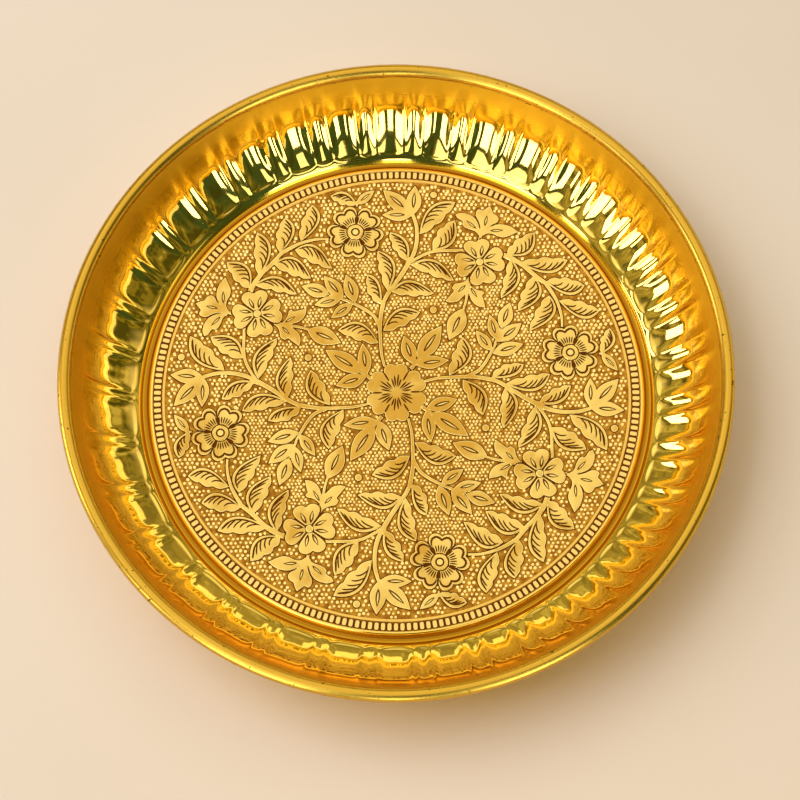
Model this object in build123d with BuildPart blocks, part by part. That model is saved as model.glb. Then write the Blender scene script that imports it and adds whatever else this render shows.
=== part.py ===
from build123d import *
import math
import os

os.makedirs("parts", exist_ok=True)

# A round brass thali: one pressed sheet with a flat floor, a foot groove, a fluted wall and a wired rim.
# Millimetres, +Z up, origin on the axis at the surface that the dish stands on.

# Overall sizes
rim_diameter = 254.0
overall_height = 33.8
sheet_thickness = 0.9

# Floor, with a sunk ground inside a raised border line and a sunk track outside it
floor_diameter = 190.0
relief_depth = 0.3
ground_diameter = 179.8
border_line_width = 1.1
border_track_width = 3.6

# Foot groove round the floor
groove_depth = 1.5
groove_flat_width = 1.0
groove_corner_radius = 0.7
shoulder_radius = 1.5
shoulder_slope = 48.0
groove_outer_slope = 50.0
lip_radius = 1.6
lip_rise = 0.2

# Wall
wall_foot_slope = 33.0

# Flutes: a narrow and a wide hollow side by side with plain lands between, repeated round the wall
flute_pairs = 36
flute_depth = 1.0
narrow_flute_width = 7.4
flute_land_width = 0.8
narrow_flute_toe = 1.2
wide_flute_toe = 2.2
flute_deepest_above_foot = 5.0
flute_fade_below_top = 3.7
first_flute_angle = 4.0
flute_overlap = 0.05

# Wired rim: the sheet is curled outwards over a wire
wire_diameter = 3.2
wire_clearance = 0.1
wire_end_gap = 1.3
crease_angle = 200.0
curl_end_angle = 245.0


def slope_direction(slope):
    """Unit vector in the section that climbs outwards at a slope in degrees."""
    return Vector(math.cos(math.radians(slope)), math.sin(math.radians(slope)))


def through_sheet(point, slope, distance):
    """A point of the section moved outwards and down, square to a slope."""
    across = Vector(math.sin(math.radians(slope)), -math.cos(math.radians(slope)))
    return point + across * distance


def foot_profile(depth_in_sheet):
    """Floor edge, groove and lip of one face of the sheet, a depth below its upper face.

    Bends that are hollow on top grow by the depth and bends that are round on top shrink by it, so that
    the two faces stay parallel. Gives the end of the floor and the end of the lip.
    """
    bend_drop = (shoulder_radius + groove_corner_radius) * (1 - math.cos(math.radians(shoulder_slope)))
    drop_length = (groove_depth - bend_drop) / math.sin(math.radians(shoulder_slope))
    corner_rise = groove_corner_radius * (1 - math.cos(math.radians(groove_outer_slope)))
    lip_turn = slope_direction(wall_foot_slope).X - slope_direction(groove_outer_slope).X
    climb_rise = groove_depth + lip_rise - corner_rise - lip_radius * lip_turn
    climb_length = climb_rise / math.sin(math.radians(groove_outer_slope))
    hollow_radius = groove_corner_radius + depth_in_sheet

    floor_end = Vector(floor_diameter / 2, floor_height - depth_in_sheet)
    shoulder = JernArc(floor_end, (1, 0), shoulder_radius - depth_in_sheet, -shoulder_slope)
    drop = Line(shoulder @ 1, shoulder @ 1 + drop_length * (shoulder % 1))
    inner_corner = JernArc(drop @ 1, drop % 1, hollow_radius, shoulder_slope)
    foot = Line(inner_corner @ 1, inner_corner @ 1 + Vector(groove_flat_width, 0))
    outer_corner = JernArc(foot @ 1, (1, 0), hollow_radius, groove_outer_slope)
    climb = Line(outer_corner @ 1, outer_corner @ 1 + climb_length * (outer_corner % 1))
    lip = JernArc(climb @ 1, climb % 1, lip_radius - depth_in_sheet, wall_foot_slope - groove_outer_slope)
    return floor_end, lip @ 1


# Places worked out from the sizes above
floor_height = groove_depth + sheet_thickness
curl_inner_radius = wire_diameter / 2 + wire_clearance
curl_radius = curl_inner_radius + sheet_thickness
curl_centre = Vector(rim_diameter / 2 - curl_radius, overall_height - curl_radius)
crease = curl_centre + Vector(curl_radius, 0).rotate(Axis.Z, crease_angle)

# The wall is one arc that leaves the lip at the foot's slope and ends at the crease under the curl
with BuildLine() as upper_foot:
    wall_foot = foot_profile(0)[1]
wall_chord = crease - wall_foot
wall_top_slope = 2 * math.degrees(math.atan2(wall_chord.Y, wall_chord.X)) - wall_foot_slope
wall_turn = wall_top_slope - wall_foot_slope
wall_radius = wall_chord.length / (2 * math.sin(math.radians(wall_turn / 2)))
wall_centre = through_sheet(wall_foot, wall_foot_slope, -wall_radius)

# The flutes are deepest near the foot, and a larger arc than the wall's would keep their depth: theirs is
# smaller, and its centre is shifted towards the deepest point so that it leaves the wall at the fade line
deepest_slope = wall_foot_slope + math.degrees(flute_deepest_above_foot / wall_radius)
fade_slope = wall_top_slope - math.degrees(flute_fade_below_top / wall_radius)
fade_cosine = math.cos(math.radians(fade_slope - deepest_slope))
hollow_reach = wall_radius + flute_depth
hollow_shift = (hollow_reach**2 - wall_radius**2) / (2 * (hollow_reach - wall_radius * fade_cosine))
hollow_arc_radius = hollow_reach - hollow_shift
hollow_centre = through_sheet(wall_centre, deepest_slope, hollow_shift)

# The wide flute takes what the narrow one and two lands leave of the pitch
pair_angle = 360 / flute_pairs
deepest_radius = through_sheet(wall_centre, deepest_slope, wall_radius).X
flute_pitch = math.radians(pair_angle) * deepest_radius
wide_flute_width = flute_pitch - narrow_flute_width - 2 * flute_land_width
seam_angle = first_flute_angle - math.degrees((narrow_flute_width + flute_land_width) / 2 / deepest_radius)


def wall_profile(depth_in_sheet):
    """The wall's arc on one face of the sheet, run on straight into the curl. Gives its end."""
    start = through_sheet(wall_foot, wall_foot_slope, depth_in_sheet)
    arc = JernArc(start, slope_direction(wall_foot_slope), wall_radius + depth_in_sheet, wall_turn)
    run_on = Line(arc @ 1, arc @ 1 + sheet_thickness * (arc % 1))
    return run_on @ 1


def wall_band(low, high):
    """A strip of the section that follows the wall between two depths from its upper face."""
    low_start = through_sheet(wall_foot, wall_foot_slope, low)
    high_start = through_sheet(wall_foot, wall_foot_slope, high)
    low_arc = JernArc(low_start, slope_direction(wall_foot_slope), wall_radius + low, wall_turn)
    high_arc = JernArc(high_start, slope_direction(wall_foot_slope), wall_radius + high, wall_turn)
    Line(low_arc @ 0, high_arc @ 0)
    Line(low_arc @ 1, high_arc @ 1)


def flute(width, toe, depth_in_sheet):
    """One round-ended flute on the XZ plane, as a thin lens that crosses one face of the sheet."""
    round_radius = (width**2 / 4 + flute_depth**2) / (2 * flute_depth)
    toe_slope = wall_foot_slope + math.degrees((toe + width / 2) / wall_radius)
    toe_point = through_sheet(hollow_centre, toe_slope, hollow_arc_radius - round_radius)
    toe_place = Vector(toe_point.X, 0, toe_point.Y)
    along = slope_direction(toe_slope)
    axis_place = Vector(hollow_centre.X, 0, hollow_centre.Y)
    with BuildPart() as lens:
        with BuildSketch(Plane(toe_place, x_dir=(0, 1, 0), z_dir=(along.X, 0, along.Y))):
            Circle(round_radius + depth_in_sheet)
        revolve(axis=Axis(axis_place, (0, -1, 0)), revolution_arc=wall_turn)
        with Locations(toe_place):
            Sphere(round_radius + depth_in_sheet)
        with BuildSketch(Plane.XZ.rotated((0, 0, -pair_angle / 2))):
            with BuildLine():
                wall_band(depth_in_sheet - flute_overlap, depth_in_sheet + 2 * flute_depth)
            make_face()
        revolve(axis=Axis.Z, revolution_arc=pair_angle, mode=Mode.INTERSECT)
    return lens.part


def press_flutes(depth_in_sheet, mode):
    """All the flutes of one face of the sheet, added to it or cut from it."""
    with PolarLocations(0, flute_pairs, start_angle=first_flute_angle):
        add(flute(narrow_flute_width, narrow_flute_toe, depth_in_sheet), mode=mode)
    with PolarLocations(0, flute_pairs, start_angle=first_flute_angle + pair_angle / 2):
        add(flute(wide_flute_width, wide_flute_toe, depth_in_sheet), mode=mode)


# The sheet
with BuildPart() as pan:
    with BuildSketch(Plane.XZ.rotated((0, 0, seam_angle))):
        # Floor, groove and wall
        with BuildLine():
            upper_floor_end = foot_profile(0)[0]
            under_floor_end = foot_profile(sheet_thickness)[0]
            axis_top = Vector(0, floor_height)
            axis_under = Vector(0, floor_height - sheet_thickness)
            Polyline(under_floor_end, axis_under, axis_top, upper_floor_end)
            Line(wall_profile(0), wall_profile(sheet_thickness))
        make_face()
        # Curl over the wire, open at a mouth between its free edge and the wall
        mouth_wall_side = through_sheet(crease, wall_top_slope, sheet_thickness / 2) - curl_centre
        mouth_free_side = Vector(curl_radius, 0).rotate(Axis.Z, curl_end_angle)
        with BuildSketch(mode=Mode.PRIVATE) as curl:
            with Locations(curl_centre):
                Circle(curl_radius)
            with BuildLine():
                Polyline(
                    curl_centre,
                    curl_centre + 2 * mouth_wall_side,
                    curl_centre + 2 * mouth_free_side,
                    close=True,
                )
            make_face(mode=Mode.SUBTRACT)
        add(curl.sketch)
        with Locations(curl_centre):
            Circle(curl_inner_radius, mode=Mode.SUBTRACT)
    revolve(axis=Axis.Z)

    # Flutes: each hollow inside the wall stands out as a swelling outside it
    press_flutes(sheet_thickness, Mode.ADD)
    press_flutes(0, Mode.SUBTRACT)

    # Sunk ground of the ornament and sunk track of the border
    with BuildSketch(Plane.XY.offset(floor_height - relief_depth)):
        border_line_radius = ground_diameter / 2 + border_line_width
        Circle(border_line_radius + border_track_width)
        Circle(border_line_radius, mode=Mode.SUBTRACT)
        Circle(ground_diameter / 2)
    extrude(amount=relief_depth, mode=Mode.SUBTRACT)
pan.part.label = "pan"
export_step(pan.part, "parts/pan.step")

# The wire inside the curl, an open ring whose ends almost meet
with BuildPart() as rim_wire:
    with BuildSketch(Plane.XZ):
        with Locations(curl_centre):
            Circle(wire_diameter / 2)
    revolve(axis=Axis.Z, revolution_arc=360 - math.degrees(wire_end_gap / curl_centre.X))
rim_wire.part.label = "rim_wire"
export_step(rim_wire.part, "parts/rim_wire.step")
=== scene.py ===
import math
import random

import bpy
import numpy as np
from mathutils import Matrix, Vector, kdtree
from mathutils.geometry import delaunay_2d_cdt


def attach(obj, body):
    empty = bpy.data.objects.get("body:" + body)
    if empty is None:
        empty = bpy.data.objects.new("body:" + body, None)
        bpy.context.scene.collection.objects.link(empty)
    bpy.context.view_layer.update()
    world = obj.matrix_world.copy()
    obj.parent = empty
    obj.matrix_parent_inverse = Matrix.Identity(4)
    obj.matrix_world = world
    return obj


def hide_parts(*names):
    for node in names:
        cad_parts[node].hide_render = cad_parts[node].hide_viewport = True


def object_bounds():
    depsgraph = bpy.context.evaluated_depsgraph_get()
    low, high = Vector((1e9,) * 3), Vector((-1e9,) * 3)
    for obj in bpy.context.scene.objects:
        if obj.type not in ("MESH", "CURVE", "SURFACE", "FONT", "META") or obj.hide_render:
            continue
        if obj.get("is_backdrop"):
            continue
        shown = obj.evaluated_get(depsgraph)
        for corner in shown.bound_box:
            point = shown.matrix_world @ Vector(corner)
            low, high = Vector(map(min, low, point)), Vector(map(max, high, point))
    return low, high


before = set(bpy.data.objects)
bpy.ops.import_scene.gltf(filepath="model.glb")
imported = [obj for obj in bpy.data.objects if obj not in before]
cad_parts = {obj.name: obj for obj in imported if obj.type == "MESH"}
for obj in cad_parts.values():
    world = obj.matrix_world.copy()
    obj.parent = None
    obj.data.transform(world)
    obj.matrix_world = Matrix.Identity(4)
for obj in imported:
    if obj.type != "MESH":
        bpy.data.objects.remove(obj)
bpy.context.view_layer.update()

MM = 0.001

# Sizes of the solids, in millimetres
rim_diameter = 254.0
overall_height = 33.8
sheet_thickness = 0.9
floor_diameter = 190.0
relief_depth = 0.3
ground_diameter = 179.8
border_line_width = 1.1
border_track_width = 3.6
groove_depth = 1.5
groove_flat_width = 1.0
groove_corner_radius = 0.7
shoulder_radius = 1.5
shoulder_slope = 48.0
groove_outer_slope = 50.0
lip_radius = 1.6
lip_rise = 0.2
wall_foot_slope = 33.0
flute_pairs = 36
wire_diameter = 3.2
wire_clearance = 0.1
crease_angle = 200.0
curl_end_angle = 245.0

# Fineness of the meshes, and how far the edges of raised forms are rubbed down
wall_columns = 960
lip_rows = 12
lip_row_gap = 0.27
wall_rows = 36
rim_columns = 720
outline_step = 0.7
edge_drop = 0.08

# Flutes as they are in the sheet: deep half-way up, a narrow and a wide one by turns between ridges that
# wander a little. Places round the plate and widths of the narrow flutes are angles in degrees.
hollow_depth = 1.5
deepest_rise = 17.0
ridge_round = 0.35
first_ridge = 12.7
ridges_even = [0, 120, 170, 240, 360]
ridges_read = [0, 120.3, 166.1, 239.3, 360]
narrow_places = [0, 110, 150, 180, 215, 262, 285, 360]
narrow_widths = [4.05, 4.0, 2.0, 1.9, 2.4, 2.7, 4.0, 4.05]
flute_gains = (0.86, 1.12)
flute_toes = (0.1, 0.7)
narrow_flatness = 2.2
wide_flatness = [2.3, 2.3, 5.0, 6.0, 7.0, 6.0, 3.5, 2.3]
sunk_ridges = [0, 0.05, 0.2, 0.3, 0.55, 0.55, 0.2, 0]
lip_swell = 0.12
ridge_toe = 2.0
wide_crest = 0.07

# Relief of the floor: the line cut round each form, its steep side, and how far its low places lie down
cut_line_width = 0.52
side_width = 0.08
side_foot = 0.1
top_inset = 0.5
cut_side_width = 0.1
core_margin = 0.12
cut_line_dip = 0.12
eye_dip = 0.1
core_dip = 0.05
border_blocks = 240
block_foot = 0.12
block_inset = 0.06
circle_points = 480

# Pearls: size against the zone's own, scatter as a share of the pitch, row gap as a share of the pitch,
# and the rings of a pearl as shares of its radius with their heights over the ground
pearl_sizes = (0.76, 1.12)
pearl_scatter = 0.15
pearl_row_gap = 0.866
pearl_margin = 0.4
pearl_sides = 8
pearl_rings = [(1.0, -0.14), (0.66, 0.22)]
pearl_crown = 0.28

# Places worked out from the sizes
floor_radius = floor_diameter / 2
floor_height = groove_depth + sheet_thickness
ground_height = floor_height - relief_depth
ground_radius = ground_diameter / 2
pearl_zones = [(0, 62, 1.5, 0.76), (62, ground_radius - 0.7, 1.85, 0.88)]
border_line_radius = ground_radius + border_line_width
track_radius = border_line_radius + border_track_width
curl_inner_radius = wire_diameter / 2 + wire_clearance
curl_radius = curl_inner_radius + sheet_thickness
curl_centre = np.array([rim_diameter / 2 - curl_radius, overall_height - curl_radius])


def direction(angle):
    """Unit vector at an angle in degrees."""
    return np.array([math.cos(math.radians(angle)), math.sin(math.radians(angle))])


def arc(centre, radius, start, end, count):
    """Points along a circle from one angle to another."""
    turn = np.radians(np.linspace(start, end, count))
    return np.column_stack([centre[0] + radius * np.cos(turn), centre[1] + radius * np.sin(turn)])


# Section of the foot groove

def foot_section(depth, steps=5):
    """Floor edge, groove and lip of the sheet's face at a depth below its upper face."""
    bend_drop = (shoulder_radius + groove_corner_radius) * (1 - direction(shoulder_slope)[0])
    drop_length = (groove_depth - bend_drop) / direction(shoulder_slope)[1]
    corner_rise = groove_corner_radius * (1 - direction(groove_outer_slope)[0])
    lip_turn = direction(wall_foot_slope)[0] - direction(groove_outer_slope)[0]
    climb_rise = groove_depth + lip_rise - corner_rise - lip_radius * lip_turn
    climb_length = climb_rise / direction(groove_outer_slope)[1]
    hollow = groove_corner_radius + depth
    shoulder_centre = np.array([floor_radius, floor_height - shoulder_radius])
    shoulder = arc(shoulder_centre, shoulder_radius - depth, 90, 90 - shoulder_slope, steps + 1)
    drop_end = shoulder[-1] + drop_length * direction(-shoulder_slope)
    inner_centre = drop_end + hollow * direction(90 - shoulder_slope)
    inner_corner = arc(inner_centre, hollow, -90 - shoulder_slope, -90, steps)
    outer_centre = inner_centre + np.array([groove_flat_width, 0])
    outer_corner = arc(outer_centre, hollow, -90, groove_outer_slope - 90, steps)
    climb_end = outer_corner[-1] + climb_length * direction(groove_outer_slope)
    lip_centre = climb_end + (lip_radius - depth) * direction(groove_outer_slope - 90)
    lip = arc(lip_centre, lip_radius - depth, 90 + groove_outer_slope, 90 + wall_foot_slope, steps)
    return np.vstack([shoulder, inner_corner, outer_corner, lip])


# The wall's arc, from the lip to the crease under the curl
wall_foot = foot_section(0)[-1]
crease = curl_centre + curl_radius * direction(crease_angle)
wall_chord = crease - wall_foot
wall_top_slope = 2 * math.degrees(math.atan2(wall_chord[1], wall_chord[0])) - wall_foot_slope
wall_turn = wall_top_slope - wall_foot_slope
wall_radius = np.hypot(*wall_chord) / (2 * math.sin(math.radians(wall_turn / 2)))
wall_centre = wall_foot - wall_radius * direction(wall_foot_slope - 90)
wall_length = math.radians(wall_turn) * wall_radius
pair_angle = 360 / flute_pairs


def flute_hollow(slopes, angles):
    """Depth of the flutes under the wall's face, for each slope of the section and angle round the plate."""
    chance = random.Random(7)
    even = np.interp((angles - first_ridge) % 360, ridges_read, ridges_even)
    place = even / pair_angle
    pair = np.floor(place).astype(int) % flute_pairs
    share = place - np.floor(place)
    narrow = np.interp(angles % 360, narrow_places, narrow_widths) / pair_angle
    in_narrow = share < narrow
    width = np.where(in_narrow, narrow, 1 - narrow)
    across = np.where(in_narrow, share, share - narrow) / width
    flute = 2 * pair + in_narrow
    gains = np.array([chance.uniform(*flute_gains) for _ in range(2 * flute_pairs)])[flute]
    toes = np.array([chance.uniform(*flute_toes) for _ in range(2 * flute_pairs)])[flute]
    rise = (np.radians(slopes - wall_foot_slope) * wall_radius)[:, None]
    radius = (wall_centre[0] + wall_radius * np.cos(np.radians(slopes - 90)))[:, None]
    half = math.radians(pair_angle) * radius * width / 2
    # Across: round hollows, the wide ones flatter, with ridges between them
    from_ridge = np.minimum(across, 1 - across) * 2 * half
    from_ridge = np.sqrt(from_ridge**2 + ridge_round**2) - ridge_round
    flatness = np.where(in_narrow, narrow_flatness, np.interp(angles % 360, narrow_places, wide_flatness))
    cup = 1 - np.clip(1 - from_ridge / half, 0, 1) ** flatness
    deepest = np.minimum(hollow_depth, 0.3 * half + 0.1 * half * (half > 3)) * gains
    cup = cup - np.where(in_narrow, 0, wide_crest * np.exp(-(((across - 0.5) / 0.1) ** 2)))
    # Along: from a round toe to just under the rim
    lobe = 1 - np.sqrt(np.clip(1 - (2 * across - 1) ** 2, 0, 1))
    toe = toes + (ridge_toe - toes) * lobe
    climb = np.clip((rise - toe) / (deepest_rise - toe), 0, 1)
    fade = np.clip((rise - deepest_rise) / (wall_length - deepest_rise), 0, 1)
    along = (1 - (1 - climb) ** 1.5) * np.cos(np.pi / 2 * fade) ** 2
    sunk = np.interp(angles % 360, narrow_places, sunk_ridges)
    swell = lip_swell * np.exp(-(((rise - toe - 0.7) / 0.8) ** 2)) * (1 - np.exp(-((rise / 0.4) ** 2)))
    return along * (sunk * hollow_depth + (1 - sunk) * deepest * cup) - swell


def new_piece(name, points, faces, material, smooth_angle):
    """A mesh piece from points in millimetres, smooth except over edges sharper than an angle."""
    mesh = bpy.data.meshes.new(name)
    mesh.from_pydata((np.asarray(points) * MM).tolist(), [], faces)
    mesh.validate()
    mesh.shade_smooth()
    mesh.set_sharp_from_angle(angle=math.radians(smooth_angle))
    mesh.materials.append(material)
    piece = bpy.data.objects.new(name, mesh)
    bpy.context.scene.collection.objects.link(piece)
    return piece


# Shader helpers

class Signal:
    """One output of a shader node, so that sums of outputs are written as sums."""

    def __init__(self, tree, output=None):
        self.tree = tree
        self.output = output

    def node(self, kind, settings, sockets, result=0):
        """Adds any node with its settings and then its sockets, and gives one of its outputs."""
        made = self.tree.nodes.new(kind)
        for name, value in settings.items():
            setattr(made, name, value)
        for name, value in sockets.items():
            if isinstance(value, Signal):
                self.tree.links.new(value.output, made.inputs[name])
            else:
                made.inputs[name].default_value = value
        return Signal(self.tree, made.outputs[result])

    def maths(self, operation, *values):
        return self.node("ShaderNodeMath", {"operation": operation}, dict(enumerate(values)))

    def __add__(self, other):
        return self.maths("ADD", self, other)

    def __radd__(self, other):
        return self.maths("ADD", other, self)

    def __sub__(self, other):
        return self.maths("SUBTRACT", self, other)

    def __rsub__(self, other):
        return self.maths("SUBTRACT", other, self)

    def __mul__(self, other):
        return self.maths("MULTIPLY", self, other)

    def __rmul__(self, other):
        return self.maths("MULTIPLY", other, self)

    def ramp(self, low, high):
        """Goes smoothly from 0 to 1 while this goes from low to high."""
        settings = {"interpolation_type": "SMOOTHSTEP"}
        return self.node("ShaderNodeMapRange", settings, {0: self, 1: low, 2: high, 3: 0.0, 4: 1.0})

    def mix(self, first, second):
        """First colour where this is 0, second where it is 1."""
        return self.node("ShaderNodeMix", {"data_type": "RGBA"}, {0: self, 6: first, 7: second}, 2)


def new_material(name):
    """A material with its shader, a start for its nodes and the object's coordinates."""
    material = bpy.data.materials.new(name)
    material.use_nodes = True
    tree = material.node_tree
    shader = tree.nodes["Principled BSDF"]
    start = Signal(tree)
    place = start.node("ShaderNodeTexCoord", {}, {}, "Object")
    return material, shader, start, place


def colour(red, green, blue):
    """A colour given as it looks on a screen, from 0 to 255, as a linear colour."""
    shown = np.array([red, green, blue]) / 255
    linear = np.where(shown <= 0.04045, shown / 12.92, ((shown + 0.055) / 1.055) ** 2.4)
    return (*linear.tolist(), 1.0)


def noise(start, place, scale, detail=3.0, roughness=0.55):
    """Cloudy noise round 0.5, finer as the scale grows."""
    sockets = {"Vector": place, "Scale": scale, "Detail": detail, "Roughness": roughness}
    return start.node("ShaderNodeTexNoise", {}, sockets, "Fac")


def height_of(start, place):
    return start.node("ShaderNodeSeparateXYZ", {}, {"Vector": place}, "Z")


def distance_from_axis(start, place):
    level = start.node("ShaderNodeVectorMath", {"operation": "MULTIPLY"}, {0: place, 1: (1, 1, 0)})
    return start.node("ShaderNodeVectorMath", {"operation": "LENGTH"}, {0: level}, 1)


def link(start, shader, **sockets):
    """Links signals to the shader's sockets, named with underscores for spaces."""
    for name, signal in sockets.items():
        start.tree.links.new(signal.output, shader.inputs[name.replace("_", " ")])


def polished_brass():
    """Mirror-bright brass of the wall and rim, with painted shade in the groove and old polish under the rim.
    """
    material, shader, start, place = new_material("polished_brass")
    shader.inputs["Metallic"].default_value = 1.0
    z = height_of(start, place)
    away = distance_from_axis(start, place)
    cloud = noise(start, place, 45.0, 2.0)
    fine = noise(start, place, 900.0, 2.0)
    speck = noise(start, place, 620.0, 2.0, 0.6)
    # Bands by height and by distance from the axis, in metres
    under_rim = z.ramp(0.0292, 0.0302) * (1.0 - z.ramp(0.0306, 0.0312))
    rim = z.ramp(0.0300, 0.0306)
    dirt = speck.ramp(0.66, 0.72) * under_rim + 0.9 * speck.ramp(0.67, 0.71) * rim
    high = z.ramp(0.016, 0.029) * (1.0 - rim)
    # The groove band is painted dark brown below: painted shade in the recess.
    groove = away.ramp(0.0956, 0.0964) * (1.0 - away.ramp(0.0975, 0.1001))
    tone = cloud.ramp(0.3, 0.75).mix(colour(255, 204, 52), colour(250, 195, 44))
    # The lower wall is painted paler so that the windows' reflections show white there: a painted highlight.
    low_wall = z.ramp(0.0016, 0.0024) * (1.0 - z.ramp(0.013, 0.019))
    painted_pale_glints = low_wall.mix(tone, colour(255, 217, 106))
    upper = (0.65 * high).mix(painted_pale_glints, colour(212, 164, 38))
    bead = (0.85 * rim).mix(upper, colour(204, 162, 62))
    # Painted shade: the groove band is mixed towards dark brown.
    painted_groove_shade = (0.85 * groove).mix(bead, colour(142, 90, 20))
    shaded = dirt.mix(painted_groove_shade, colour(70, 45, 12))
    polish = 0.06 + 0.04 * cloud.ramp(0.4, 0.8)
    dull = polish + 0.4 * dirt + 0.2 * rim + 0.2 * groove + 0.4 * high + 0.2 * under_rim
    relief = cloud * 0.7 + fine * 0.03
    bump = {"Strength": 0.12, "Distance": 0.0006, "Height": relief}
    normal = start.node("ShaderNodeBump", {}, bump)
    link(start, shader, Base_Color=shaded, Roughness=dull, Normal=normal)
    return material


def chased_brass(name, edge, pale, gold, satin):
    """Satin brass of the floor: raised forms with a painted highlight along their edges, brown in the
    hollows.
    """
    material, shader, start, place = new_material(name)
    shader.inputs["Metallic"].default_value = 1.0
    z = height_of(start, place)
    away = distance_from_axis(start, place)
    cloud = noise(start, place, 60.0, 3.0)
    grain = noise(start, place, 1500.0, 3.0)
    mottle = noise(start, place, 420.0, 3.0, 0.6)
    swell = noise(start, place, 110.0, 2.0)
    sunk = 1.0 - z.ramp(ground_height * MM, (floor_height - 0.1) * MM)
    deep = 1.0 - z.ramp((ground_height - 0.1) * MM, (ground_height - 0.02) * MM)
    crown = z.ramp((floor_height - edge_drop) * MM, (floor_height - 0.2 * edge_drop) * MM)
    border = away.ramp((ground_radius - 0.5) * MM, ground_radius * MM)
    inner = 1.0 - away.ramp(0.02, 0.055)
    middle = (cloud + 0.2 * inner - 0.08).ramp(0.36, 0.64).mix(pale, gold)
    flat_top = border.mix(middle, colour(234, 194, 98))
    # Painted highlight: the rounded edges of raised forms take the paler edge colour.
    edge_highlight = border.mix(edge, colour(242, 210, 126))
    top = crown.mix(edge_highlight, flat_top)
    ground = mottle.ramp(0.35, 0.7).mix(colour(152, 98, 26), colour(206, 154, 56))
    worn = sunk.mix(top, ground)
    shaded = deep.mix(worn, colour(100, 54, 8))
    dull = satin + 0.08 * cloud + 0.14 * sunk
    relief = grain * 0.08 + mottle * 0.5 * sunk + swell * 9.0
    bump = {"Strength": 0.4, "Distance": 0.0002, "Height": relief}
    normal = start.node("ShaderNodeBump", {}, bump)
    link(start, shader, Base_Color=shaded, Roughness=dull, Normal=normal)
    return material


def drawn_steel():
    """Dull drawn steel of the wire inside the rim."""
    material, shader, start, place = new_material("drawn_steel")
    shader.inputs["Metallic"].default_value = 1.0
    cloud = noise(start, place, 120.0, 4.0)
    fine = noise(start, place, 2400.0, 2.0)
    tone = cloud.ramp(0.35, 0.7).mix(colour(150, 150, 152), colour(120, 112, 100))
    dull = 0.32 + 0.2 * cloud
    normal = start.node("ShaderNodeBump", {}, {"Strength": 0.2, "Distance": 0.0002, "Height": fine})
    link(start, shader, Base_Color=tone, Roughness=dull, Normal=normal)
    return material


def table_cover():
    """Pale warm backdrop paper."""
    material, shader, start, place = new_material("table_cover")
    shader.inputs["Specular IOR Level"].default_value = 0.0
    cloud = noise(start, place, 3.0, 2.0)
    grain = noise(start, place, 900.0, 3.0)
    tone = cloud.ramp(0.3, 0.7).mix(colour(237, 223, 213), colour(233, 218, 207))
    normal = start.node("ShaderNodeBump", {}, {"Strength": 0.05, "Distance": 0.0004, "Height": grain})
    shader.inputs["Roughness"].default_value = 0.85
    link(start, shader, Base_Color=tone, Normal=normal)
    return material


polished = polished_brass()
# Paler colours for the edges of leaves and pearls: painted highlights.
leaf_edge_highlight = colour(255, 234, 148)
pearl_edge_highlight = colour(254, 228, 142)
chased = chased_brass("chased_brass", leaf_edge_highlight, colour(236, 204, 114), colour(206, 160, 66), 0.28)
# The pearls' brass is painted paler than the leaves': a painted highlight on their tops.
punched = chased_brass("punched_brass", pearl_edge_highlight, colour(251, 234, 160), colour(249, 219, 130), 0.26)


# Wall, groove and rim: one closed section turned round the axis, with the flutes pressed into it

def turned(name, sections, columns):
    """A closed section turned round the axis. Each part has its points and, on the wall, their slopes."""
    angles = np.arange(columns) * 360 / columns
    rows = []
    for points, slopes in sections:
        radius = np.repeat(points[:, :1], columns, axis=1)
        height = np.repeat(points[:, 1:], columns, axis=1)
        if slopes is not None:
            pressed = flute_hollow(slopes, angles)
            outward = np.radians(slopes - 90)[:, None]
            radius += pressed * np.cos(outward)
            height += pressed * np.sin(outward)
        turn = np.radians(angles)[None, :]
        rows.append(np.stack([radius * np.cos(turn), radius * np.sin(turn), height], axis=-1))
    grid = np.concatenate(rows)
    count = len(grid)
    faces = []
    for row in range(count):
        below = (row + 1) % count
        for column in range(columns):
            beside = (column + 1) % columns
            faces.append((
                row * columns + column,
                below * columns + column,
                below * columns + beside,
                row * columns + beside,
            ))
    return new_piece(name, grid.reshape(-1, 3), faces, polished, 40)


def make_wall():
    """Groove and fluted wall, from the floor's edge to the crease under the rim."""
    low_rises = np.linspace(0, lip_rows * lip_row_gap, lip_rows, endpoint=False)
    rises = np.concatenate([low_rises, np.linspace(lip_rows * lip_row_gap, wall_length, wall_rows)])
    slopes = wall_foot_slope + np.degrees(rises / wall_radius)
    back_slopes = slopes[::-4]
    around = np.radians(slopes - 90)
    wall = wall_centre + wall_radius * np.column_stack([np.cos(around), np.sin(around)])
    around = np.radians(back_slopes - 90)
    back_radius = wall_radius + sheet_thickness
    back = wall_centre + back_radius * np.column_stack([np.cos(around), np.sin(around)])
    sections = [
        (foot_section(0)[:-1], None),
        (wall, slopes),
        (back, back_slopes),
        (foot_section(sheet_thickness, 3)[-2::-1], None),
    ]
    return turned("pan_wall", sections, wall_columns)


def make_rim():
    """The sheet's edge curled over the wire."""
    wall_back = wall_centre + (wall_radius + sheet_thickness) * direction(wall_top_slope - 90)
    run_on = wall_back + 0.4 * sheet_thickness * direction(wall_top_slope)
    from_centre = run_on - curl_centre
    run_on_angle = math.degrees(math.atan2(from_centre[1], from_centre[0])) % 360
    bead = arc(curl_centre, curl_radius, crease_angle, curl_end_angle - 360, 30)
    inside = arc(curl_centre, curl_inner_radius, curl_end_angle - 360, run_on_angle, 16)
    return turned("pan_rim", [(bead, None), (inside, None), (wall_back[None, :], None)], rim_columns)


# Curves and outlines of the ornament, in millimetres from the floor's middle

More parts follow.
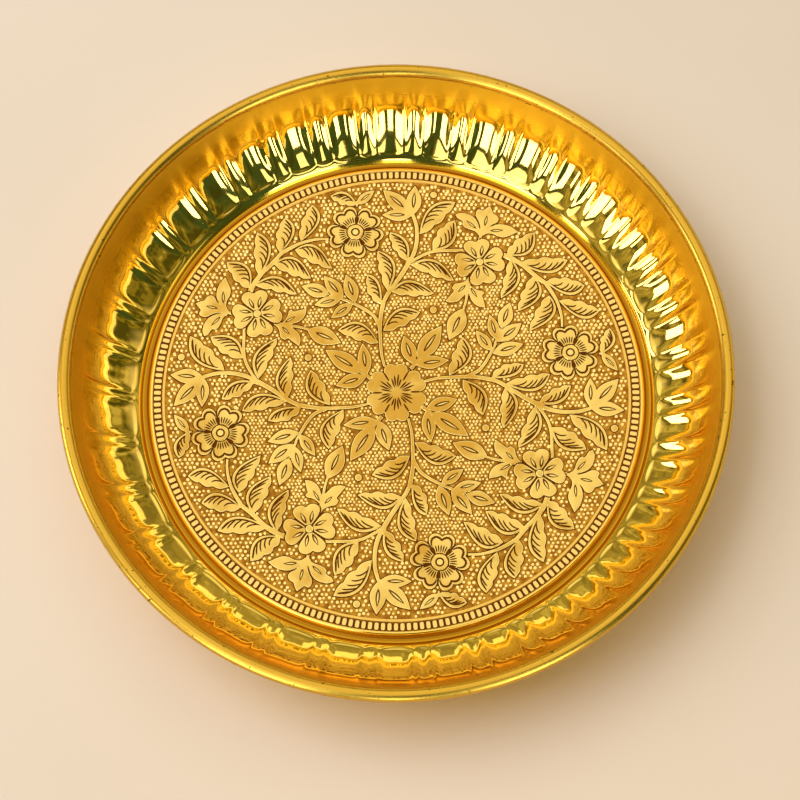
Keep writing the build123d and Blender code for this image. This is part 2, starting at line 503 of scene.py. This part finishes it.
def smooth(points, step=outline_step):
    """A smooth line through the points."""
    points = np.array(points, float)
    ends = [2 * points[0] - points[1], *points, 2 * points[-1] - points[-2]]
    line = []
    for before, here, there, after in zip(ends, ends[1:], ends[2:], ends[3:]):
        count = max(2, math.ceil(np.hypot(*(there - here)) / step))
        for part in np.arange(count) / count:
            line.append(0.5 * (
                2 * here
                + (there - before) * part
                + (2 * before - 5 * here + 4 * there - after) * part**2
                + (3 * here - before - 3 * there + after) * part**3
            ))
    line.append(points[-1])
    return np.array(line)


def bow(start, middle, end, count):
    """A curve of one bend from start to end whose middle is at a point."""
    start, middle, end = (np.array(point, float) for point in (start, middle, end))
    part = np.linspace(0, 1, count)[:, None]
    control = 2 * middle - (start + end) / 2
    return (1 - part) ** 2 * start + 2 * part * (1 - part) * control + part**2 * end


def square_to(line):
    """Unit vectors square to a line, on its left."""
    along = np.gradient(line, axis=0)
    along /= np.maximum(np.hypot(along[:, 0], along[:, 1]), 1e-9)[:, None]
    return np.column_stack([-along[:, 1], along[:, 0]])


def ribbon(line, width, tip=0.3):
    """A band along a line that narrows to a share of its width towards both ends."""
    line = np.array(line, float)
    part = np.linspace(-1, 1, len(line))
    half = width / 2 * (tip + (1 - tip) * (1 - part**4))[:, None]
    left = square_to(line)
    return np.vstack([line + left * half, (line - left * half)[::-1]])


def stem(points, start_width, end_width):
    """A band along a smooth line that goes from one width to another."""
    line = smooth(points, 1.4)
    half = 0.84 * np.linspace(start_width, end_width, len(line))[:, None] / 2
    left = square_to(line)
    return np.vstack([line + left * half, (line - left * half)[::-1]])


def lens(base, tip, width, start, end, count=9):
    """An almond between two shares of the way from base to tip."""
    base, tip = np.array(base, float), np.array(tip, float)
    along = tip - base
    across = np.array([-along[1], along[0]]) / np.hypot(*along)
    part = np.linspace(0, 1, count)[:, None]
    middle = base + along * (start + (end - start) * part)
    half = width / 2 * np.sin(np.pi * part**0.9)
    left = middle + across * half
    right = middle - across * half
    return np.vstack([left, right[-2:0:-1]])


def disc(centre, radius, count=20):
    return arc(np.array(centre, float), radius, 0, 360 * (1 - 1 / count), count)


class Shape:
    """A raised form: its outline, the cuts in it and the raised cores inside those cuts."""

    def __init__(self, outline, cuts=(), cores=()):
        self.outline = np.array(outline)
        self.cuts = [np.array(cut) for cut in cuts]
        self.cores = [np.array(core) for core in cores]

    def turned(self, angle, place=(0, 0)):
        cosine, sine = direction(angle)
        turn = np.array([[cosine, sine], [-sine, cosine]])
        move = np.array(place, float)
        return Shape(
            self.outline @ turn + move,
            [cut @ turn + move for cut in self.cuts],
            [core @ turn + move for core in self.cores],
        )


def almond(base, tip, width):
    """A pointed leaf with an eye-shaped cut."""
    length = math.dist(base, tip)
    eye = min(1.7, width * 0.3)
    outline = lens(base, tip, width, 0, 1, max(9, round(length / outline_step)))
    cut = lens(base, tip, eye, 0.22, 0.8, 10)
    core = lens(base, tip, eye * 0.36, 0.32, 0.72, 8)
    return Shape(outline, [cut], [core])


def feather(base, spine, tip, blade):
    """A half leaf: one smooth edge, one edge in lobes, and slanting cuts between its ribs."""
    count = max(24, round(math.dist(base, tip) * 1.7))
    smooth_edge = bow(base, spine, tip, count)
    lobed_edge = bow(base, blade, tip, count)
    part = np.linspace(0, 1, count)
    away = lobed_edge - smooth_edge
    spread = np.hypot(away[:, 0], away[:, 1])
    away /= np.maximum(spread, 1e-6)[:, None]
    lobes = np.abs(np.sin(3 * np.pi * part**1.15)) * np.sin(np.pi * part) ** 0.5
    lobed_edge = lobed_edge + away * (0.95 * lobes - 0.35 * np.sin(np.pi * part))[:, None]
    outline = np.vstack([smooth_edge, lobed_edge[-2:0:-1]])
    inset = np.minimum(1.35, 0.42 * spread)
    rib = smooth_edge + away * inset[:, None]
    first, last = round(0.08 * count), round(0.92 * count)
    cuts = [ribbon(rib[first:last:2], 0.66, 0.25)]
    slants = 5
    for number in range(slants):
        start = round((0.16 + 0.12 * number) * count)
        end = min(start + round(0.25 * count), count - 3)
        share = 0.74 - 0.03 * number
        inner = smooth_edge[end] + away[end] * spread[end] * share
        outer = rib[start]
        bend = (inner + outer) / 2 + 0.18 * (rib[end] - (inner + outer) / 2)
        cuts.append(ribbon(bow(outer, bend, inner, 6), 0.6, 0.4))
    return Shape(outline, cuts)


def drawn(*strokes, eye=None):
    """A leaf drawn with strokes that meet in corners, and an eye-shaped cut."""
    lines = [smooth(stroke)[:-1] for stroke in strokes]
    outline = np.vstack(lines)
    if eye is None:
        return Shape(outline)
    base, tip, width = eye
    return Shape(outline, [lens(base, tip, width, 0, 1)], [lens(base, tip, width * 0.36, 0.2, 0.82, 8)])


def heart_flower(place, turn):
    """Four heart-shaped petals with two drop-shaped cuts each, round a small disc."""
    side = [(1.6, 1.1), (3.2, 2.7), (5.0, 4.3), (6.8, 5.2), (8.5, 4.8), (9.5, 3.3), (9.6, 1.6), (8.7, 0.0)]
    upper = smooth(side)[:-1]
    petal = np.vstack([upper, [(8.7, 0.0)], (upper * [1, -1])[::-1]])
    cuts = []
    cores = []
    for way in (1, -1):
        cuts.append(lens((2.0, 0.8 * way), (7.0, 2.4 * way), 1.6, 0, 1))
        cores.append(lens((2.0, 0.8 * way), (7.0, 2.4 * way), 0.6, 0.25, 0.9))
    parts = [Shape(petal, cuts, cores).turned(turn + 90 * number, place) for number in range(4)]
    parts.append(Shape(disc(place, 1.5)))
    return parts


def rayed_flower(place, turn):
    """Five two-lobed petals with a double edge, rays and rings."""
    edge = [(-34, 8.3), (-31, 9.7), (-25, 10.9), (-17, 11.4), (-8, 11.0), (0, 10.0)]
    half = smooth([radius * direction(angle) for angle, radius in edge])
    rim = np.vstack([half, (half * [1, -1])[-2::-1]])
    foot = np.array([3.6 * direction(angle) for angle in (30, 10, -10, -30)])
    outline = np.vstack([rim, foot])
    inner = smooth([(radius - 1.45) * direction(angle * 0.92) for angle, radius in edge])
    inner_line = np.vstack([inner, (inner * [1, -1])[-2::-1]])
    cuts = [ribbon(inner_line[::2], 0.9, 0.4)]
    for number in range(7):
        ray = direction(-30 + 10 * number)
        cuts.append(ribbon([3.9 * ray, 4.9 * ray, 5.8 * ray, 6.6 * ray], 0.55, 0.5))
    parts = [Shape(outline, cuts).turned(turn + 72 * number, place) for number in range(5)]
    parts.append(Shape(disc(place, 3.2, 28), [disc(place, 1.8)], [disc(place, 1.15, 14)]))
    return parts


def middle_flower():
    """Six two-lobed petals in one, parted by short slits, with long rays round a bead."""
    edge = [(-30, 9.0), (-26, 10.5), (-20, 11.6), (-13, 12.1), (-6, 11.8), (0, 11.0)]
    half = smooth([radius * direction(angle) for angle, radius in edge])
    petal = np.vstack([half, (half * [1, -1])[-2:0:-1]])
    turns = [np.array([direction(60 * number + 30), direction(60 * number + 120)]) for number in range(6)]
    outline = np.vstack([petal @ turn for turn in turns])
    cuts = []
    for number in range(6):
        parting = direction(60 * number)
        cuts.append(ribbon([share * parting for share in (5.6, 6.8, 8.0, 9.2)], 0.7, 0.7))
        for angle, foot, reach in ((-20, 2.2, 6.2), (-8, 1.6, 8.2), (5, 2.2, 7.4), (17, 1.6, 6.4)):
            ray = direction(60 * number + 30 + angle)
            cuts.append(lens(reach * ray, foot * ray, 0.7, 0, 1, 8))
    flower = Shape(outline, cuts)
    return [flower, Shape(disc((0, 0), 0.9, 12))]


def quarter():
    """Stems and leaves of one quarter of the ornament."""
    stems = [
        stem([(10.8, 4.3), (16, 5.4), (22, 5.7), (29, 5.7), (34, 5.0), (38.5, 4.0)], 1.2, 2.2),
        stem([(37.5, 4.3), (41, 2.6), (45, -0.2), (49.5, -3.3), (53.5, -5.6), (57, -6.4)], 1.9, 2.4),
        stem([(27.5, 5.9), (32, 8.0), (34.8, 11.2), (37, 14.8), (38.8, 18.2), (41.6, 25.5)], 1.8, 1.2),
        stem([(53, -5.6), (57.5, -8), (62, -9.4), (67, -9.9), (71, -9.6), (75.6, -8.3)], 2.2, 1.7),
        stem([(54.3, -6.6), (56.8, -10.5), (58.6, -14.5), (59.3, -19), (59.2, -24), (59.1, -28.8)], 1.5, 1.5),
        stem([(43.4, 56.9), (47, 55.2), (51.5, 52.2), (54.8, 48.8), (57.2, 46.5), (60.3, 44)], 2.6, 2.0),
        stem([(60, 44.2), (62.2, 40.5), (63.8, 37.2), (65.1, 33), (65.7, 29), (65.6, 25.4)], 2.0, 1.1),
        stem([(31.0, 48.4), (30.2, 46.2), (29.4, 43), (28.8, 40), (28.2, 37), (27.0, 33.4)], 1.8, 1.1),
        stem([(63.2, -34.6), (65.4, -35.2), (68.4, -35.4)], 1.5, 1.8),
        stem([(79.4, 14.0), (80.6, 13.9), (81.8, 14.3)], 0.9, 1.3),
        stem([(5.8, 9.6), (7.4, 11.4), (9.8, 14.8)], 2.0, 1.2),
    ]
    almonds = [
        ((38.0, 15.2), (50.2, 18.8), 5.8),
        ((40.0, 20.0), (49.9, 27.6), 5.7),
        ((41.8, 25.4), (45.7, 36.5), 5.9),
        ((40.0, 20.6), (37.4, 31.6), 4.7),
        ((37.7, 16.2), (31.8, 25.0), 4.7),
        ((8.6, 13.0), (18.5, 27.4), 7.4),
        ((7.4, 11.5), (20.9, 12.8), 5.4),
        ((7.0, 11.4), (3.4, 23.6), 6.0),
        ((75.1, -8.4), (75.5, 4.0), 5.2),
        ((75.8, -7.6), (86.5, 3.3), 6.6),
        ((74.8, -8.3), (88.0, -9.7), 6.2),
        ((80.4, 14.2), (86.4, 6.6), 4.0),
        ((27.3, 34.4), (21.1, 21.1), 7.4),
    ]
    feathers = [
        ((20.6, 6.4), (29.6, 13.6), (26.6, 22.4), (22.4, 14.2)),
        ((25.8, 4.6), (34.6, -1.2), (33.2, -10.3), (28.0, -3.3)),
        ((37.0, 4.9), (46.3, 5.8), (49.9, 10.3), (41.9, 9.8)),
        ((42.4, 2.4), (53.8, -0.8), (60.0, 6.0), (51.4, 5.2)),
        ((55.0, -6.0), (63.8, -5.7), (67.9, 1.0), (60.6, -0.8)),
        ((42.2, 1.0), (46.9, -6.4), (41.0, -15.9), (40.5, -7.2)),
        ((53.6, -6.8), (55.3, -16.6), (46.3, -23.9), (48.8, -15.9)),
        ((66.6, -10.8), (78.4, -15.6), (80.3, -25.8), (71.8, -18.9)),
        ((59.4, -15.8), (62.8, -24.3), (72.4, -25.2), (67.3, -18.4)),
        ((45.3, 56.7), (54.6, 57.6), (56.8, 66.2), (48.9, 62.3)),
        ((50.2, 53.2), (62.0, 48.4), (69.4, 53.9), (59.4, 54.8)),
        ((60.0, 44.8), (69.2, 38.9), (75.5, 42.7), (67.6, 46.0)),
        ((64.8, 36.6), (73.6, 28.9), (80.8, 31.8), (73.0, 35.9)),
        ((46.6, 55.2), (50.0, 45.8), (42.1, 38.2), (44.0, 46.6)),
        ((55.6, 47.6), (57.9, 38.9), (48.8, 32.6), (50.9, 40.5)),
        ((61.2, 39.0), (62.9, 30.7), (52.7, 24.1), (56.4, 33.0)),
        ((80.4, 13.8), (86.0, 18.6), (84.3, 24.5), (80.7, 19.6)),
    ]
    shapes = [Shape(outline) for outline in stems]
    shapes += [almond(*leaf) for leaf in almonds]
    shapes += [feather(*leaf) for leaf in feathers]
    shapes += [
        drawn(
            [(30.0, 48.0), (28.5, 46.1), (26.2, 45.2), (24.2, 44.9), (23.0, 43.2)],
            [(23.0, 43.2), (23.7, 42.0), (22.3, 40.2), (20.2, 37.6)],
            [(20.2, 37.6), (22.5, 37.0), (25.2, 37.5), (26.8, 38.9), (28.9, 41.5), (30.0, 48.0)],
            eye=((28.6, 44.3), (25.2, 41.2), 1.2),
        ),
        drawn(
            [(29.4, 46.0), (31.0, 43.4), (33.2, 42.0), (35.2, 41.5), (35.8, 40.4)],
            [(35.8, 40.4), (34.9, 39.6), (35.4, 37.6), (35.9, 34.5)],
            [(35.9, 34.5), (33.6, 34.9), (31.6, 36.2), (30.3, 38.2), (29.5, 41.5), (29.4, 46.0)],
            eye=((30.2, 43.4), (32.9, 38.6), 1.2),
        ),
        drawn(
            [(64.6, -34.9), (67.2, -33.2), (68.2, -30.8), (69.4, -28.7), (70.6, -28.0), (71.4, -28.4)],
            [(71.4, -28.4), (72.3, -27.6), (73.2, -26.2), (74.8, -25.4)],
            [(74.8, -25.4), (75.5, -27.6), (75.0, -30.2), (73.8, -32.4), (71.6, -34.0), (66.8, -35.4)],
            eye=((68.2, -33.7), (72.2, -29.6), 1.2),
        ),
        drawn(
            [(65.8, -35.4), (70.6, -34.9), (74.0, -33.6), (76.0, -33.9), (76.9, -35.0), (76.2, -36.5)],
            [(76.2, -36.5), (77.3, -38.0), (78.3, -39.4)],
            [(78.3, -39.4), (76.4, -40.2), (74.8, -40.6)],
            [(74.8, -40.6), (73.8, -42.1), (72.3, -42.7), (70.9, -42.0), (69.7, -39.9), (65.8, -35.4)],
            eye=((69.2, -36.9), (74.4, -38.2), 1.3),
        ),
        drawn(
            [(64.4, -35.0), (66.1, -37.6), (65.9, -40.0), (64.7, -42.4), (64.5, -45.2), (66.5, -50.3)],
            [(66.5, -50.3), (69.0, -47.2), (70.1, -43.2), (69.4, -40.0), (67.9, -37.4), (65.6, -34.9)],
            eye=((67.3, -38.8), (67.4, -44.6), 1.3),
        ),
    ]
    shapes += [Shape(disc((83.7, -17.0), 1.4)), Shape(disc((15.4, 34.1), 1.4))]
    return shapes


def twice_area(outline):
    """Twice the area inside an outline, negative where it runs clockwise."""
    ahead = np.roll(outline, -1, axis=0)
    return np.sum(outline[:, 0] * ahead[:, 1] - ahead[:, 0] * outline[:, 1])


def grown(outline, distance):
    """An outline moved outwards by a distance, or inwards where it is negative, with no loops."""
    points = np.array(outline, float)
    keep = np.hypot(*(points - np.roll(points, 1, axis=0)).T) > 0.02
    points = points[keep]
    before = points - np.roll(points, 1, axis=0)
    after = np.roll(points, -1, axis=0) - points
    side = 1 if twice_area(points) > 0 else -1
    first = np.column_stack([before[:, 1], -before[:, 0]]) / np.hypot(*before.T)[:, None]
    second = np.column_stack([after[:, 1], -after[:, 0]]) / np.hypot(*after.T)[:, None]
    out = first + second
    out /= np.maximum(np.hypot(*out.T), 0.2)[:, None]
    stretch = np.clip(1 / np.maximum(np.sum(out * first, axis=1), 0.2), 1, 2.2)
    moved = points + side * distance * out * stretch[:, None]
    length = np.maximum(np.sum(after**2, axis=1), 1e-12)
    gap = moved[:, None, :] - points[None, :, :]
    along = np.clip(np.sum(gap * after[None, :, :], axis=2) / length[None, :], 0, 1)
    nearest = np.hypot(*np.moveaxis(gap - along[:, :, None] * after[None, :, :], 2, 0)).min(axis=1)
    return moved[nearest >= abs(distance) * 0.93]


# Kinds of surface, from the lowest rank to the highest within a layer. Bare ground has the last column of
# a table of kinds. Leaves, flowers and border blocks are layers, each ranked over the one before.
GROOVE, SLOPE, TOP, CUT_SIDE, CUT, CORE = range(6)
BARE = -1
LAYER_STEP = 10
BLOCK_RANK = 50


def make_floor():
    """The floor with its ornament in relief, as one closed sheet."""
    leaves = [shape.turned(90 * number) for number in range(4) for shape in quarter()]
    flowers = []
    for number in range(4):
        turn = 90 * number
        for place, petals, first in (((68.3, 14.7), rayed_flower, 29), ((34.4, 54.0), heart_flower, 8)):
            cosine, sine = direction(turn)
            there = (place[0] * cosine - place[1] * sine, place[0] * sine + place[1] * cosine)
            flowers += petals(there, first + turn)
    flowers += middle_flower()

    points = []
    polygons = []
    ranks = []

    def lay(outline, rank):
        if len(outline) < 3:
            return
        if twice_area(outline) < 0:
            outline = outline[::-1]
        start = len(points)
        points.extend(outline.tolist())
        polygons.append(list(range(start, start + len(outline))))
        ranks.append(rank)

    # Each form: a line cut round it, a steep side, a rounded edge and a top, then its cuts and their cores
    for layer, shapes in enumerate((leaves, flowers)):
        base = 1 + LAYER_STEP * layer
        for shape in shapes:
            lay(grown(shape.outline, cut_line_width), base + GROOVE)
            lay(grown(shape.outline, side_foot), base + SLOPE)
            lay(grown(shape.outline, -side_width), base + TOP)
            lay(grown(shape.outline, -top_inset), base + TOP)
            for cut in shape.cuts:
                lay(grown(cut, 0.0), base + CUT_SIDE)
                lay(grown(cut, -cut_side_width), base + CUT)
            for core in shape.cores:
                lay(grown(core, core_margin), base + CUT)
                lay(grown(core, 0.0), base + CORE)

    # Border: a raised line, a sunk track with blocks, and the floor's plain edge
    for radius in (floor_radius, track_radius + side_width, track_radius - side_width):
        lay(disc((0, 0), radius, wall_columns), 0)
    for radius in (border_line_radius, ground_radius):
        lay(disc((0, 0), radius + side_width, circle_points), 0)
        lay(disc((0, 0), radius - side_width, circle_points), 0)
    block = smooth([(1.42, 0), (1.3, 0.6), (0.8, 0.8), (-0.8, 0.8), (-1.3, 0.6), (-1.42, 0)], 0.6)
    block = np.vstack([block, (block * [1, -1])[-2:0:-1]])
    block_radius = (border_line_radius + track_radius) / 2 + 0.05
    for number in range(border_blocks):
        angle = 360 / border_blocks * number
        outline = Shape(block).turned(angle, block_radius * direction(angle)).outline
        lay(grown(outline, block_foot), BLOCK_RANK + SLOPE)
        lay(grown(outline, -block_inset), BLOCK_RANK + TOP)

    flat, _, triangles, _, _, covers = delaunay_2d_cdt(
        [Vector(point) for point in points], [], polygons, 0, 0.0005
    )
    flat = np.array([tuple(point) for point in flat])
    middle = np.array([flat[list(face)].mean(axis=0) for face in triangles])
    ring = np.hypot(*middle.T)
    kinds = np.full(len(triangles), BARE)
    for index, cover in enumerate(covers):
        rank = max((ranks[polygon] for polygon in cover), default=0)
        if rank >= BLOCK_RANK:
            kinds[index] = rank - BLOCK_RANK
        elif rank > 0:
            kinds[index] = (rank - 1) % LAYER_STEP
    plain = kinds == BARE
    kinds[plain & (ring > border_line_radius + side_width) & (ring < track_radius - side_width)] = GROOVE
    line = (ring > ground_radius + side_width) & (ring < border_line_radius - side_width)
    kinds[plain & (line | (ring > track_radius + side_width))] = TOP

    seen = np.zeros((len(flat), CORE + 2), bool)
    for kind, face in zip(kinds, triangles):
        for corner in face:
            seen[corner, kind] = True
    bare = seen[:, BARE]
    height = np.full(len(flat), ground_height)
    height[seen[:, GROOVE] & ~bare] = ground_height - cut_line_dip
    height[seen[:, SLOPE]] = ground_height - cut_line_dip
    height[seen[:, TOP] | seen[:, CORE]] = floor_height
    height[seen[:, TOP] & seen[:, SLOPE]] = floor_height - edge_drop
    height[seen[:, CUT]] = ground_height - eye_dip
    height[seen[:, CORE]] = floor_height - core_dip

    top = np.column_stack([flat, height])
    edge = np.flatnonzero(np.hypot(*flat.T) > floor_radius - 0.001)
    edge = edge[np.argsort(np.arctan2(flat[edge, 1], flat[edge, 0]))]
    count = len(top)
    under = np.column_stack([flat[edge], np.full(len(edge), floor_height - sheet_thickness)])
    grid = np.vstack([top, under, [(0, 0, floor_height - sheet_thickness)]])
    faces = []
    for face in triangles:
        a, b, c = (flat[corner] for corner in face)
        turn = (b[0] - a[0]) * (c[1] - a[1]) - (b[1] - a[1]) * (c[0] - a[0])
        faces.append(tuple(face) if turn > 0 else tuple(face)[::-1])
    ends = len(edge)
    for index in range(ends):
        beside = (index + 1) % ends
        faces.append((edge[index], count + index, count + beside, edge[beside]))
        faces.append((count + beside, count + index, count + ends))
    faces = [tuple(int(corner) for corner in face) for face in faces]
    return new_piece("pan_floor", grid, faces, chased, 35), flat, kinds, triangles


def make_pearls(flat, kinds, triangles):
    """Pearls punched over the ground between the leaves: coarse near the border, fine near the middle."""
    chance = random.Random(11)
    held = sorted({corner for kind, face in zip(kinds, triangles) if kind != BARE for corner in face})
    tree = kdtree.KDTree(len(held))
    for index in held:
        tree.insert((*flat[index], 0), index)
    tree.balance()
    spots = []
    for inner, outer, pitch, radius in pearl_zones:
        rows = int(2 * outer / (pitch * pearl_row_gap))
        for row in range(rows + 1):
            y = -outer + row * pitch * pearl_row_gap
            for column in range(int(2 * outer / pitch) + 1):
                x = -outer + (column + 0.5 * (row % 2)) * pitch
                x += chance.uniform(-pearl_scatter, pearl_scatter) * pitch
                spot_y = y + chance.uniform(-pearl_scatter, pearl_scatter) * pitch
                away = math.hypot(x, spot_y)
                size = radius * chance.uniform(*pearl_sizes)
                if not inner <= away < outer:
                    continue
                _, _, gap = tree.find((x, spot_y, 0))
                if gap >= size * pearl_margin:
                    spots.append((x, spot_y, size))
    return spots


def bare_ground(spots, flat, kinds, triangles):
    """Of the spots, those that lie on triangles of bare ground."""
    bare = np.array([face for kind, face in zip(kinds, triangles) if kind == BARE])
    corners = flat[bare]
    kept = []
    cell = 4.0
    boxes = {}
    low = np.floor(corners.min(axis=1) / cell).astype(int)
    high = np.floor(corners.max(axis=1) / cell).astype(int)
    for index in range(len(bare)):
        for i in range(low[index, 0], high[index, 0] + 1):
            for j in range(low[index, 1], high[index, 1] + 1):
                boxes.setdefault((i, j), []).append(index)
    for x, y, size in spots:
        for index in boxes.get((math.floor(x / cell), math.floor(y / cell)), ()):
            a, b, c = corners[index]
            first = (b[0] - a[0]) * (y - a[1]) - (b[1] - a[1]) * (x - a[0])
            second = (c[0] - b[0]) * (y - b[1]) - (c[1] - b[1]) * (x - b[0])
            third = (a[0] - c[0]) * (y - c[1]) - (a[1] - c[1]) * (x - c[0])
            if min(first, second, third) >= 0 or max(first, second, third) <= 0:
                kept.append((x, y, size))
                break
    return kept


def pearl_piece(spots):
    """Every pearl as a closed dome that stands a little way into the ground."""
    sides = pearl_sides
    points = []
    faces = []
    for x, y, size in spots:
        first = len(points)
        for share, height in pearl_rings:
            for side in range(sides):
                out = size * share * direction(360 / sides * side)
                points.append((x + out[0], y + out[1], ground_height + height))
        points.append((x, y, ground_height + pearl_crown))
        top = first + sides * (len(pearl_rings) - 1)
        for side in range(sides):
            beside = (side + 1) % sides
            for low in range(first, top, sides):
                faces.append((low + side, low + beside, low + sides + beside, low + sides + side))
            faces.append((top + side, top + beside, top + sides))
        faces.append(tuple(first + side for side in reversed(range(sides))))
    return new_piece("pearl_ground", points, faces, punched, 30)


floor, *floor_faces = make_floor()
wall = make_wall()
rim = make_rim()
pearls = pearl_piece(bare_ground(make_pearls(*floor_faces), *floor_faces))

for piece in (floor, wall, rim, pearls):
    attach(piece, "root")
    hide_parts("pan")

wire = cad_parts["rim_wire"]
wire.data.materials.clear()
wire.data.materials.append(drawn_steel())


# Table, light and camera

table_mesh = bpy.data.meshes.new("table")
reach = 3.0
corners = [(-reach, -reach, 0), (reach, -reach, 0), (reach, reach, 0), (-reach, reach, 0)]
table_mesh.from_pydata(corners, [], [(0, 1, 2, 3)])
table_mesh.materials.append(table_cover())
table = bpy.data.objects.new("table", table_mesh)
bpy.context.scene.collection.objects.link(table)
table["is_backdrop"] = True


def lamp(name, place, aim, size, power, tint):
    """A rectangular lamp that looks at a point."""
    data = bpy.data.lights.new(name, "AREA")
    data.shape = "RECTANGLE"
    data.size, data.size_y = size
    data.energy = power
    data.color = tint
    made = bpy.data.objects.new(name, data)
    made.location = place
    made.rotation_euler = (Vector(aim) - Vector(place)).to_track_quat("-Z", "Y").to_euler()
    bpy.context.scene.collection.objects.link(made)
    return made


def window(name, turn, low, high, width, glow, tint):
    """A bright upright window that only metal sees, at a turn round the plate in degrees."""
    away = 2.0
    bottom = away * math.tan(math.radians(low))
    top = away * math.tan(math.radians(high))
    out = direction(turn) * away
    centre = (out[0], out[1], (bottom + top) / 2)
    across = 2 * away * math.tan(math.radians(width / 2))
    power = glow * math.pi * across * (top - bottom)
    made = lamp(name, centre, (0, 0, centre[2]), (across, top - bottom), power, tint)
    made.visible_diffuse = False
    return made


overhead = lamp("overhead", (-1.0, 0.16, 1.25), (0, 0, 0), (1.4, 1.4), 14.8, (0.97, 0.985, 1.01))
overhead.visible_glossy = False
card = lamp("near_card", (0.1, -0.4, 0.22), (0.05, -0.14, 0), (0.3, 0.2), 0.18, (1.0, 0.6, 0.32))
card.visible_glossy = False

# Windows: turn round the plate, lowest and highest angle over the table, and width, in degrees
pane_glow, pane_tint = 4.4, (0.98, 1.0, 1.15)
low_pane_glow, low_pane_tint = 1.05, (1.0, 0.9, 0.55)
high_pane_glow, high_pane_tint = 1.8, (0.95, 1.0, 1.05)
panes = [
    (176, 4, 28, 22),
    (-152, 6, 30, 9),
    (-124, 4, 40, 26),
    (-92, 4, 36, 8),
    (-62, 4, 35, 22),
]
for number, (turn, low, high, width) in enumerate(panes):
    window(f"window_{number}", turn, low, high, width, pane_glow, pane_tint)
low_panes = [
    (-15, 2.5, 13, 30),
    (15, 2.5, 13, 30),
    (45, 2.5, 9, 30),
    (75, 2.5, 9, 30),
    (105, 2.5, 9, 30),
    (40, 9, 15, 13),
    (62, 9, 14, 10),
    (84, 9, 15, 13),
    (106, 9, 14, 10),
]
for number, (turn, low, high, width) in enumerate(low_panes):
    window(f"low_window_{number}", turn, low, high, width, low_pane_glow, low_pane_tint)
window("left_high_window", -128, 45, 70, 44, high_pane_glow, high_pane_tint)
window("right_high_window", -64, 43, 58, 22, high_pane_glow, high_pane_tint)

world = bpy.data.worlds.new("studio")
bpy.context.scene.world = world
world.use_nodes = True
sky = Signal(world.node_tree)
looking = sky.node("ShaderNodeTexCoord", {}, {}, "Generated")
east = sky.node("ShaderNodeSeparateXYZ", {}, {"Vector": looking}, "X")
north = sky.node("ShaderNodeSeparateXYZ", {}, {"Vector": looking}, "Y")
upward = sky.node("ShaderNodeSeparateXYZ", {}, {"Vector": looking}, "Z")
leafy = noise(sky, looking, 5.0, 4.0)
far_side = north.ramp(0.3, 0.85)
left_side = 1.0 - east.ramp(-0.9, -0.4)
pale_side = far_side.maths("MAXIMUM", far_side, left_side)
low_glow = pale_side.mix((0.24, 0.21, 0.04, 1), (0.37, 0.32, 0.12, 1))
near_side = (1.0 - north.ramp(-0.45, -0.12)) * (1.0 - left_side)
dim_glow = near_side.mix(low_glow, (0.05, 0.09, 0.04, 1))
pale_leafy = 0.8 * (1.0 - leafy.ramp(0.4, 0.45)) * (1.0 - near_side)
pale_patch = pale_leafy.mix(dim_glow, (0.64, 0.57, 0.26, 1))
left_sky = 1.0 - east.ramp(-0.45, -0.2)
far_sky = north.ramp(0.0, 0.4)
clouds = noise(sky, looking, 3.5, 2.0)
bright_side = east.ramp(-0.3, 0.3).mix((1.66, 1.53, 1.26, 1), (1.32, 1.18, 0.9, 1))
bright = (0.35 * clouds.ramp(0.42, 0.6)).mix(bright_side, (0.55, 0.49, 0.36, 1))
dark_leafy = (0.85 - 0.6 * far_side) * leafy.ramp(0.54, 0.58)
patchy = dark_leafy.mix(pale_patch, (0.05, 0.055, 0.012, 1))
top_sky = (upward + 0.35 * north).ramp(0.84, 0.91)
side_sky = sky.maths("MAXIMUM", far_sky * upward.ramp(0.45, 0.72), left_sky * upward.ramp(0.72, 0.85))
lit = sky.maths("MAXIMUM", side_sky, top_sky)
glow = lit.mix(patchy, bright)
# The camera sees plain paper behind the table
seen = sky.node("ShaderNodeLightPath", {}, {}, "Is Camera Ray")
shown = seen.mix(glow, (0.78, 0.63, 0.47, 1))
world.node_tree.links.new(shown.output, world.node_tree.nodes["Background"].inputs["Color"])
world.node_tree.nodes["Background"].inputs["Strength"].default_value = 1.0

camera_tilt = math.radians(19.45)
camera_roll = math.radians(-1.49)
camera_distance = 0.8103
image_width = 800
sensor_width = 36
focal_pixels = 2087.8
aim = Vector((0, 0, floor_height * MM))
aim_pixel = (396.4, 392.3)

camera_data = bpy.data.cameras.new("camera")
camera_data.sensor_width = sensor_width
camera_data.lens = focal_pixels / image_width * sensor_width
camera_data.shift_x = (image_width / 2 - aim_pixel[0]) / image_width
camera_data.shift_y = (aim_pixel[1] - image_width / 2) / image_width
camera_data.clip_start = 0.01
camera_data.clip_end = 20
camera = bpy.data.objects.new("camera", camera_data)
back = Vector((0, -math.sin(camera_tilt), math.cos(camera_tilt)))
level = Vector((1, 0, 0))
rise = back.cross(level)
right = math.cos(camera_roll) * level + math.sin(camera_roll) * rise
up = math.cos(camera_roll) * rise - math.sin(camera_roll) * level
spot = aim + back * camera_distance
camera.matrix_world = Matrix((
    (right.x, up.x, back.x, spot.x),
    (right.y, up.y, back.y, spot.y),
    (right.z, up.z, back.z, spot.z),
    (0, 0, 0, 1),
))
bpy.context.scene.collection.objects.link(camera)
bpy.context.scene.camera = camera
bpy.context.scene.view_settings.view_transform = "Standard"

low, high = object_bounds()
